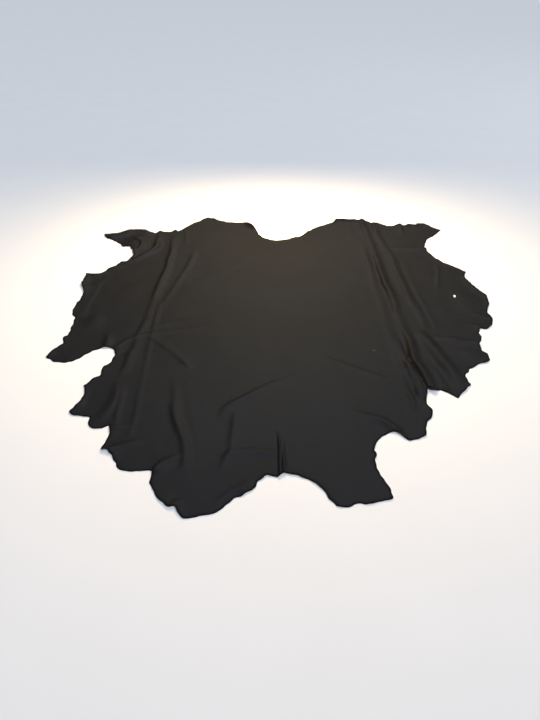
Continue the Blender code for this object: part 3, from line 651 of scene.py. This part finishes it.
# %% [markdown]
# ## Leather from the net
#
# What is left follows a rule, so Geometry Nodes do it: the sheet cockles a little as it dries, its free
# edge flutters more than its middle, and all of it has one thickness. The cockles only lift the leather,
# never push it into the floor. The net is then extruded upwards by the thickness, a flipped copy closes
# it from below, and each of the three sides gets its own finish: grain above, flesh below and the raw
# cut round the edge.

# %% Helpers for node trees
def feed(tree, value, socket):
    """Gives a socket a plain value, or links another node's output to it."""
    if isinstance(value, bpy.types.NodeSocket):
        tree.links.new(value, socket)
    else:
        socket.default_value = value


def fill(tree, node, **inputs):
    """Feeds a node's inputs by name. None leaves an input as it is."""
    for name, value in inputs.items():
        if value is not None:
            feed(tree, value, node.inputs[name.replace("_", " ")])


def add_node(tree, kind, settings=None, **inputs):
    """A new node, with its settings and its inputs by name."""
    made = tree.nodes.new(kind)
    for name, value in (settings or {}).items():
        setattr(made, name, value)
    fill(tree, made, **inputs)
    return made


def add_math(tree, operation, *operands):
    """A Math node's result. Each operand is a number or another node's output."""
    made = add_node(tree, "ShaderNodeMath", {"operation": operation})
    for socket, operand in zip(made.inputs, operands):
        feed(tree, operand, socket)
    return made.outputs[0]


def smooth_step(tree, value, start, end):
    """0 at start and 1 at end, smooth between them. Start may be the larger one."""
    return add_node(tree, "ShaderNodeMapRange", {"interpolation_type": "SMOOTHSTEP"},
                    Value=value, From_Min=start, From_Max=end).outputs["Result"]


def add_sockets(tree, direction, sockets):
    """Named sockets on a node group; a value is also its starting value."""
    for name, kind, value in sockets:
        socket = tree.interface.new_socket(name, in_out=direction, socket_type="NodeSocket" + kind)
        if value is not None:
            socket.default_value = value


print("node helpers ready")

# %% [markdown]
# A smooth step of a noise gives islands of raised leather with flat ground between them, which is how a
# sheet that is pressed to a floor cockles. The same helper makes the broad cockles and the flutter.

# %% The tree that makes the hide
# The span of the noise over which the leather rises from the ground.
COCKLE_SPAN = (0.42, 0.72)
FLUTTER_SPAN = (0.46, 0.70)
SAME_PLACE = 1e-6


def add_islands(tree, size, seed, span):
    """Noise in islands: 0 on the flat ground, rising smoothly to 1, each island about `size` across."""
    place = tree.nodes.new("GeometryNodeInputPosition").outputs["Position"]
    wave = add_node(tree, "ShaderNodeTexNoise", {"noise_dimensions": "4D"}, Vector=place, W=seed,
                    Scale=add_math(tree, "DIVIDE", 1.0, size), Detail=1.0, Roughness=0.4)
    return smooth_step(tree, wave.outputs["Fac"], *span)


def hide_tree():
    """Geometry nodes: a net becomes a closed sheet of leather with three finishes."""
    tree = bpy.data.node_groups.new("hide from its net", "GeometryNodeTree")
    add_sockets(tree, "INPUT", [
        ("Net", "Geometry", None), ("Thickness", "Float", 0.0014),
        ("Cockle Height", "Float", 0.0012), ("Cockle Size", "Float", 0.12),
        ("Flutter Height", "Float", 0.003), ("Flutter Size", "Float", 0.05), ("Flutter Width", "Float", 0.05),
        ("Seed", "Float", 4.0), ("Grain Side", "Material", None), ("Flesh Side", "Material", None),
        ("Cut Edge", "Material", None),
    ])
    add_sockets(tree, "OUTPUT", [("Hide", "Geometry", None)])
    given = tree.nodes.new("NodeGroupInput").outputs
    cockle = add_math(tree, "MULTIPLY", given["Cockle Height"],
                      add_islands(tree, given["Cockle Size"], given["Seed"], COCKLE_SPAN))
    flutter = add_math(tree, "MULTIPLY", given["Flutter Height"],
                       add_islands(tree, given["Flutter Size"], given["Seed"], FLUTTER_SPAN))
    from_edge = add_node(tree, "GeometryNodeInputNamedAttribute", {"data_type": "FLOAT"}, Name="from edge")
    near_edge = smooth_step(tree, from_edge.outputs["Attribute"], given["Flutter Width"], 0.0)
    lift = add_math(tree, "MULTIPLY_ADD", flutter, near_edge, cockle)
    upwards = add_node(tree, "ShaderNodeCombineXYZ", Z=lift).outputs[0]
    raised = add_node(tree, "GeometryNodeSetPosition", Geometry=given["Net"], Offset=upwards).outputs[0]

    straight_up = add_node(tree, "ShaderNodeCombineXYZ", Z=1.0).outputs[0]
    thick = add_node(tree, "GeometryNodeExtrudeMesh", {"mode": "FACES"}, Mesh=raised, Offset=straight_up,
                     Offset_Scale=given["Thickness"], Individual=False).outputs
    under = add_node(tree, "GeometryNodeFlipFaces", Mesh=raised).outputs[0]
    both = tree.nodes.new("GeometryNodeJoinGeometry")
    tree.links.new(under, both.inputs[0])
    tree.links.new(thick["Mesh"], both.inputs[0])
    closed = add_node(tree, "GeometryNodeMergeByDistance", Geometry=both.outputs[0], Distance=SAME_PLACE)
    painted = add_node(tree, "GeometryNodeRealizeInstances", Geometry=closed.outputs[0])
    for finish, chosen in (("Flesh Side", None), ("Cut Edge", thick["Side"]), ("Grain Side", thick["Top"])):
        painted = add_node(tree, "GeometryNodeSetMaterial", Geometry=painted.outputs[0],
                           Selection=chosen, Material=given[finish])
    tree.links.new(painted.outputs[0], tree.nodes.new("NodeGroupOutput").inputs[0])
    return tree


hide_from_net = hide_tree()
print("geometry nodes:", len(hide_from_net.nodes))

# %% [markdown]
# ## The finishes
#
# Black upholstery leather is dyed through and then given a thin coat of black finish on the grain side.
# Up close its surface is a pavement of tiny pebbles, two millimetres across, with creases between them.
# From a step away they can't be told apart, but they break up the reflections and make the sheen soft.
# The flesh side is a short, dull nap, and the cut edge shows the same fibres end on.
#
# All three share one thing: no vat dyes a hide quite evenly. That goes into a node group, which puts out
# one slow, blotchy value that each finish then uses in its own way.

# %% Dye that took unevenly
BLOTCH_SPAN = (0.3, 0.7)


def group_ends(tree, takes, gives):
    """The sockets inside a shader group where its inputs come in and its outputs go out."""
    add_sockets(tree, "INPUT", takes)
    add_sockets(tree, "OUTPUT", gives)
    return tree.nodes.new("NodeGroupInput").outputs, tree.nodes.new("NodeGroupOutput").inputs


def uneven_dye():
    """A slow, blotchy value from 0 to 1."""
    tree = bpy.data.node_groups.new("uneven dye", "ShaderNodeTree")
    given, result = group_ends(tree, [("Place", "Vector", None), ("Blotch Size", "Float", 0.3)],
                               [("Dye", "Float", None)])
    blotch = add_node(tree, "ShaderNodeTexNoise", Vector=given["Place"],
                      Scale=add_math(tree, "DIVIDE", 1.0, given["Blotch Size"]),
                      Detail=4.0, Roughness=0.55, Distortion=0.4)
    feed(tree, smooth_step(tree, blotch.outputs["Fac"], *BLOTCH_SPAN), result["Dye"])
    return tree


dye = uneven_dye()
print("group:", dye.name)

# %% [markdown]
# The nap of the flesh side and the raw fibres of the cut edge are the same collagen, so they are one
# group too: noise at the width of a fibre bundle, drawn out along one direction by squeezing the
# coordinates across it.

# %% Fibres
def add_vector(tree, operation, *operands, **inputs):
    """A Vector Math node. Its vectors come first, and a scale by name."""
    made = add_node(tree, "ShaderNodeVectorMath", {"operation": operation}, **inputs)
    for socket, operand in zip(made.inputs, operands):
        feed(tree, operand, socket)
    return made.outputs


def fibres():
    """The height of matted fibres."""
    tree = bpy.data.node_groups.new("leather fibres", "ShaderNodeTree")
    given, result = group_ends(tree, [("Place", "Vector", None), ("Fibre Size", "Float", 0.002),
                                      ("Squeeze", "Vector", (1.0, 1.0, 1.0))], [("Nap", "Float", None)])
    squeezed = add_vector(tree, "MULTIPLY", given["Place"], given["Squeeze"])["Vector"]
    strands = add_node(tree, "ShaderNodeTexNoise", Vector=squeezed,
                       Scale=add_math(tree, "DIVIDE", 1.0, given["Fibre Size"]),
                       Detail=6.0, Roughness=0.7, Distortion=1.2)
    feed(tree, strands.outputs["Fac"], result["Nap"])
    return tree


leather_fibres = fibres()
print("group:", leather_fibres.name)

# %% [markdown]
# The grain is a group of its own, since it is used twice on the grain side: fine over the back, where
# the hide is tight, and coarser and deeper towards the belly and the edge, where it is loose. Pebbles
# are Voronoi cells, and the distance to a cell's border makes the crease between two of them. The place
# is shaken by noise first, so that the cells don't look like cut polygons.

# %% Pebble grain
# Shares of a pebble's size: how far its border is shaken, and how far its shoulder reaches in.
SHAKE = 0.6
SHOULDER = 0.32
PORES_PER_PEBBLE = 3.0
PORE_HEIGHT = 0.35


def pebble_grain():
    """Height of the pebbled surface, and a mask that is 1 in the creases between pebbles."""
    tree = bpy.data.node_groups.new("pebble grain", "ShaderNodeTree")
    given, result = group_ends(tree, [("Place", "Vector", None), ("Pebble Size", "Float", 0.002)],
                               [("Height", "Float", None), ("Crease", "Float", None)])
    place = given["Place"]
    per_metre = add_math(tree, "DIVIDE", 1.0, given["Pebble Size"])
    shake = add_node(tree, "ShaderNodeTexNoise", Vector=place, Scale=per_metre, Detail=2.0)
    shift = add_vector(tree, "SCALE", shake.outputs["Color"],
                       Scale=add_math(tree, "MULTIPLY", given["Pebble Size"], SHAKE))
    shaken = add_vector(tree, "ADD", place, shift["Vector"])
    pebbles = add_node(tree, "ShaderNodeTexVoronoi", {"feature": "DISTANCE_TO_EDGE"},
                       Vector=shaken["Vector"], Scale=per_metre)
    dome = smooth_step(tree, pebbles.outputs["Distance"], 0.0, SHOULDER)
    pores = add_node(tree, "ShaderNodeTexNoise", Vector=place,
                     Scale=add_math(tree, "MULTIPLY", per_metre, PORES_PER_PEBBLE), Detail=3.0, Roughness=0.6)
    feed(tree, add_math(tree, "MULTIPLY_ADD", pores.outputs["Fac"], PORE_HEIGHT, dome), result["Height"])
    feed(tree, add_math(tree, "SUBTRACT", 1.0, dome), result["Crease"])
    return tree


grain = pebble_grain()
print("group:", grain.name)

# %% [markdown]
# ## The grain side
#
# Near-black leather is mostly its gloss: the dye sends back about one part in a hundred of the light,
# and the finish several times that. So the colour hardly varies, and the roughness carries the
# blotches. Three bumps are stacked, from the broad unevenness that shows from across the room down to
# the pebbles. Along the cut a narrow rim is made duller, and its colour is darkened there as painted shade.
# The one light scuff is a small smeared oval, mixed over the colour.

# %% Finish of the grain side
BLACK = (0.0084, 0.0083, 0.0085, 1.0)
BLACK_WORN = (0.0098, 0.0096, 0.0096, 1.0)
# Painted shade: the grain side's colour is darkened to this in a narrow rim along the cut.
RIM_PAINTED_SHADE = (0.0030, 0.0030, 0.0032, 1.0)
RIM_WIDTH = 0.014
ROUGHNESS = 0.39
BLOTCH_ROUGHNESS = 0.05
CREASE_ROUGHNESS = 0.08
RIM_ROUGHNESS = 0.45
TIGHT_PEBBLE = 0.0018
LOOSE_PEBBLE = 0.0036
LOOSE_WITHIN = 0.05
TIGHT_BEYOND = 0.35
BROAD_DEPTH = 0.0012
LOOSE_DEPTH = 0.00030
TIGHT_DEPTH = 0.00016
SCUFF = (0.060, 0.058, 0.056, 1.0)
SCUFF_X = 46.3
SCUFF_Y = 99.3
SCUFF_HALF_LENGTH = 0.012
SCUFF_HALF_WIDTH = 0.0036
SCUFF_LEAN = math.radians(-35.0)


def new_material(name):
    """An empty material with its shader and the object coordinates."""
    material = bpy.data.materials.new(name)
    material.use_nodes = True
    tree = material.node_tree
    place = tree.nodes.new("ShaderNodeTexCoord").outputs["Object"]
    return material, tree, tree.nodes["Principled BSDF"], place


def add_group(tree, group, **inputs):
    """The outputs of a shader group placed in a material."""
    return add_node(tree, "ShaderNodeGroup", {"node_tree": group}, **inputs).outputs


def add_ramp(tree, value, stops):
    """A colour or grey that changes with a value: stops are position and colour."""
    ramp = tree.nodes.new("ShaderNodeValToRGB")
    while len(ramp.color_ramp.elements) < len(stops):
        ramp.color_ramp.elements.new(0.5)
    for element, (position, colour) in zip(ramp.color_ramp.elements, stops):
        element.position = position
        element.color = colour if isinstance(colour, tuple) else (colour, colour, colour, 1.0)
    tree.links.new(value, ramp.inputs["Fac"])
    return ramp.outputs["Color"]


def add_mix(tree, share, under, over):
    """One colour laid over another, as much of it as the share says."""
    mix = add_node(tree, "ShaderNodeMix", {"data_type": "RGBA"}, Factor=share)
    for number, colour in ((6, under), (7, over)):
        feed(tree, colour, mix.inputs[number])
    return mix.outputs[2]


def add_bump(tree, height, depth, strength, under=None):
    """A bump that deep in metres, on top of another one."""
    return add_node(tree, "ShaderNodeBump", Strength=strength, Distance=depth, Height=height,
                    Normal=under).outputs["Normal"]


def add_scuff(tree, place):
    """1 on the scuff and 0 around it, with a ragged border."""
    local = add_node(tree, "ShaderNodeMapping", {"vector_type": "TEXTURE"}, Vector=place,
                     Location=(*((SCUFF_X, SCUFF_Y) - TABLE_MIDDLE) * CM, 0.0),
                     Rotation=(0.0, 0.0, SCUFF_LEAN),
                     Scale=(SCUFF_HALF_LENGTH, SCUFF_HALF_WIDTH, 1.0)).outputs[0]
    reach = add_vector(tree, "LENGTH", local)["Value"]
    smear = add_node(tree, "ShaderNodeTexNoise", Vector=place, Scale=260.0, Detail=3.0).outputs["Fac"]
    ragged = add_math(tree, "SUBTRACT", add_math(tree, "ADD", reach, smear), 0.5)
    return add_ramp(tree, ragged, [(0.75, 1.0), (1.0, 0.0)])


def grain_finish():
    """Black finished leather with a pebble grain that is looser near the edge."""
    material, tree, shader, place = new_material("black leather grain side")
    blotches = add_group(tree, dye, Place=place, Blotch_Size=0.22)["Dye"]
    tight = add_group(tree, grain, Place=place, Pebble_Size=TIGHT_PEBBLE)
    loose = add_group(tree, grain, Place=place, Pebble_Size=LOOSE_PEBBLE)
    from_edge = add_node(tree, "ShaderNodeAttribute", {"attribute_name": "from edge"}).outputs["Fac"]
    looseness = smooth_step(tree, from_edge, TIGHT_BEYOND, LOOSE_WITHIN)
    # The rim darkens the colour along the cut as painted shade, and also makes the finish rougher there.
    rim = smooth_step(tree, from_edge, RIM_WIDTH, 0.0)

    body = add_ramp(tree, blotches, [(0.0, BLACK), (1.0, BLACK_WORN)])
    colour = add_mix(tree, add_scuff(tree, place), add_mix(tree, rim, body, RIM_PAINTED_SHADE), SCUFF)
    roughness = add_math(tree, "MULTIPLY_ADD", blotches, BLOTCH_ROUGHNESS, ROUGHNESS)
    roughness = add_math(tree, "MULTIPLY_ADD", tight["Crease"], CREASE_ROUGHNESS, roughness)
    roughness = add_math(tree, "MULTIPLY_ADD", rim, RIM_ROUGHNESS, roughness)

    broad = add_node(tree, "ShaderNodeTexNoise", Vector=place, Scale=22.0, Detail=3.0, Roughness=0.5)
    normal = add_bump(tree, broad.outputs["Fac"], BROAD_DEPTH, 0.5)
    normal = add_bump(tree, add_math(tree, "MULTIPLY", loose["Height"], looseness), LOOSE_DEPTH, 0.7, normal)
    normal = add_bump(tree, tight["Height"], TIGHT_DEPTH, 0.7, normal)
    fill(tree, shader, Base_Color=colour, Roughness=roughness, Specular_IOR_Level=0.5, Normal=normal)
    return material


grain_side = grain_finish()
print("finish:", grain_side.name)

# %% [markdown]
# ## The flesh side and the cut edge
#
# Seen from above neither shows much, yet the turned-up flaps let the edge catch the light, and someone
# who turns the hide over finds the nap. Both are dull. A little sheen on the flesh side stands for the
# light that short fibres catch at a low angle.

# %% Finishes of the flesh side and of the cut edge
def fibre_finish(name, pale, dark, roughness, sheen, fibre_size, squeeze, depth):
    """Dull dyed fibres, between two colours."""
    material, tree, shader, place = new_material(name)
    blotches = add_group(tree, dye, Place=place, Blotch_Size=0.15)["Dye"]
    nap = add_group(tree, leather_fibres, Place=place, Fibre_Size=fibre_size, Squeeze=squeeze)["Nap"]
    mixed = add_math(tree, "MULTIPLY", add_math(tree, "ADD", blotches, nap), 0.5)
    fill(tree, shader, Base_Color=add_ramp(tree, mixed, [(0.2, dark), (0.8, pale)]), Roughness=roughness,
         Sheen_Weight=sheen, Sheen_Roughness=0.6, Specular_IOR_Level=0.25,
         Normal=add_bump(tree, nap, depth, 0.8))
    return material


flesh_side = fibre_finish("black leather flesh side", pale=(0.034, 0.031, 0.028, 1.0),
                          dark=(0.016, 0.015, 0.014, 1.0), roughness=0.95, sheen=0.25,
                          fibre_size=0.0016, squeeze=(1.0, 1.0, 1.0), depth=0.0006)
cut_edge = fibre_finish("black leather cut edge", pale=(0.006, 0.0055, 0.005, 1.0),
                        dark=(0.003, 0.0028, 0.0026, 1.0), roughness=0.85, sheen=0.0,
                        fibre_size=0.0008, squeeze=(1.0, 1.0, 3.0), depth=0.0002)
print("finishes:", flesh_side.name, "and", cut_edge.name)

# %% [markdown]
# ## Make the hide
#
# The tree's inputs are set by their identifiers before it is first evaluated, then its result replaces
# the net as a plain mesh, and the modifier goes. Smooth shading with sharp corners only where two faces
# meet at a steep angle keeps the folds soft and the cut crisp.

# %% Run the tree and keep its mesh
CUT_CORNER = math.radians(50.0)
hide_sizes = {
    "Thickness": 0.0014,
    "Cockle Height": 0.0014,
    "Cockle Size": 0.15,
    "Flutter Height": 0.0035,
    "Flutter Size": 0.065,
    "Flutter Width": 0.06,
    "Seed": 4.0,
    "Grain Side": grain_side,
    "Flesh Side": flesh_side,
    "Cut Edge": cut_edge,
}


def run_tree(piece, tree, values):
    """Runs a tree on a piece and leaves the result as the piece's own mesh."""
    modifier = piece.modifiers.new(tree.name, "NODES")
    modifier.node_group = tree
    piece.data.materials.append(values["Flesh Side"])
    for item in tree.interface.items_tree:
        if item.in_out == "INPUT" and item.name in values:
            modifier[item.identifier] = values[item.name]
    evaluated = piece.evaluated_get(bpy.context.evaluated_depsgraph_get())
    made = bpy.data.meshes.new_from_object(evaluated)
    piece.modifiers.remove(modifier)
    piece.data = made
    made.shade_smooth()
    made.set_sharp_from_angle(angle=CUT_CORNER)


run_tree(hide_piece, hide_from_net, hide_sizes)
corners = np.array([vertex.co[:] for vertex in hide_piece.data.vertices])
print(len(hide_piece.data.polygons), "faces, materials", [m.name for m in hide_piece.data.materials])
print("piece spans", corners.min(axis=0).round(4), "to", corners.max(axis=0).round(4))

# %% [markdown]
# ## The floor and the light
#
# The floor is a plain pale plane that reaches well past the camera's horizon. On it the black leather is
# a dim mirror of the sky, so the sky is where its shading comes from. A glow stands beyond the far end,
# warm low down and cool and brighter higher up: the far end, which mirrors the low sky, comes out warm,
# the near end cool, and a slope that leans towards the viewer mirrors a brighter part and is paler than
# one that leans away. A window on the right does the same for the slopes of the long folds. A high soft
# sun fills the floor, and a small warm lamp over the far end lifts the colour there. Neither of those
# two shows in the gloss. Behind the camera the sky glows weakly, for those who look from the other side.

# %% Floor
FLOOR_HALF = 45.0
FLOOR_DROP = 0.0006
FLOOR_PAINT = (0.885, 0.885, 0.885, 1.0)
FLOOR_PAINT_WORN = (0.9, 0.9, 0.9, 1.0)


def pale_floor():
    """A plain pale floor."""
    mesh = bpy.data.meshes.new("floor")
    corners = [(x, y, -FLOOR_DROP) for x, y in ((-FLOOR_HALF, -FLOOR_HALF), (FLOOR_HALF, -FLOOR_HALF),
                                               (FLOOR_HALF, FLOOR_HALF), (-FLOOR_HALF, FLOOR_HALF))]
    mesh.from_pydata(corners, [], [(0, 1, 2, 3)])
    floor = bpy.data.objects.new("floor", mesh)
    scene.collection.objects.link(floor)
    material, tree, shader, place = new_material("pale floor paint")
    speckle = add_node(tree, "ShaderNodeTexNoise", Vector=place, Scale=3.0, Detail=3.0).outputs["Fac"]
    fill(tree, shader, Base_Color=add_ramp(tree, speckle, [(0.3, FLOOR_PAINT), (0.7, FLOOR_PAINT_WORN)]),
         Roughness=0.9, Specular_IOR_Level=0.1)
    mesh.materials.append(material)
    return floor


floor = pale_floor()
print("floor", 2 * FLOOR_HALF, "m wide")

# %% Light
SKY_BASE = 0.025
GLOW_STRENGTH = 1.47
BACK_GLOW = 0.12

# Where the sky glows, as parts of a direction one long: z is up, y is away from the camera.
LOWEST_GLOW = -0.15
FULL_GLOW = 0.85
GLOW_FADE = 0.25
BACK_START = -0.2
BACK_FULL = -0.5

# The glow is a wedge: its half width is REACH for each unit above its root, around its middle.
GLOW_MIDDLE = 0.12
GLOW_REACH = 0.64
GLOW_ROOT = 0.12
LEAST_ABOVE_ROOT = 0.1

# The sky's colour by how high it is.
SKY_TINT = [
    (0.20, (1.00, 0.70, 0.44, 1.0)),
    (0.42, (1.00, 0.74, 0.34, 1.0)),
    (0.54, (1.00, 0.91, 0.56, 1.0)),
    (0.64, (0.97, 0.98, 0.82, 1.0)),
    (0.74, (0.84, 0.91, 1.00, 1.0)),
    (0.88, (0.60, 0.70, 1.00, 1.0)),
]

# Each light's kind, place, power, colour, whether it shows in gloss, and its own size.
LIGHTS = {
    "soft sun": ("SUN", (0.42, -0.42, 0.80), 2.2, (0.84, 0.91, 1.0), False, {"angle": math.radians(30.0)}),
    "far lamp": ("AREA", (0.04, 1.15, 1.35), 67.0, (1.0, 0.72, 0.40), False, {"size": 0.8}),
    "side window": ("AREA", (9.2, 1.8, 4.4), 110.0, (0.95, 0.97, 1.0), True, {"size": 6.4}),
}


def add_light(name, kind, place, power, colour, shows_in_gloss, own_size):
    """A light at a place, turned towards the middle of the hide."""
    data = bpy.data.lights.new(name, kind)
    data.energy = power
    data.color = colour
    for attribute, value in own_size.items():
        setattr(data, attribute, value)
    lamp = bpy.data.objects.new(name, data)
    lamp.location = place
    lamp.rotation_euler = Vector(place).to_track_quat("Z", "Y").to_euler()
    lamp.visible_camera = False
    lamp.visible_glossy = shows_in_gloss
    scene.collection.objects.link(lamp)


def soft_sky():
    """A dim room with a glow beyond the far end, brighter and cooler upwards, and a weak one behind."""
    world = bpy.data.worlds.new("studio")
    world.use_nodes = True
    tree = world.node_tree
    towards = tree.nodes.new("ShaderNodeTexCoord").outputs["Generated"]
    part = add_node(tree, "ShaderNodeSeparateXYZ", Vector=towards).outputs
    above_root = add_math(tree, "SUBTRACT", part["Z"], GLOW_ROOT)
    sideways = add_math(tree, "DIVIDE", part["X"], add_math(tree, "MAXIMUM", above_root, LEAST_ABOVE_ROOT))
    off_middle = add_math(tree, "ABSOLUTE", add_math(tree, "SUBTRACT", sideways, GLOW_MIDDLE))
    glow = add_math(tree, "MULTIPLY", smooth_step(tree, off_middle, GLOW_REACH, 0.0),
                    smooth_step(tree, part["Y"], -GLOW_FADE, GLOW_FADE))
    glow = add_math(tree, "MULTIPLY", glow, smooth_step(tree, part["Z"], LOWEST_GLOW, FULL_GLOW))
    behind = smooth_step(tree, part["Y"], BACK_START, BACK_FULL)
    strength = add_math(tree, "MULTIPLY_ADD", behind, BACK_GLOW, SKY_BASE)
    strength = add_math(tree, "MULTIPLY_ADD", glow, GLOW_STRENGTH, strength)
    fill(tree, tree.nodes["Background"], Color=add_ramp(tree, part["Z"], SKY_TINT), Strength=strength)
    scene.world = world


soft_sky()
for name, light in LIGHTS.items():
    add_light(name, *light)
scene.view_settings.view_transform = "Standard"
scene.view_settings.look = "None"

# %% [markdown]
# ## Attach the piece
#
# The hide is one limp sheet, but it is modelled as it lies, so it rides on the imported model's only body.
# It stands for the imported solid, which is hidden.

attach(hide_piece, "root")
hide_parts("hide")
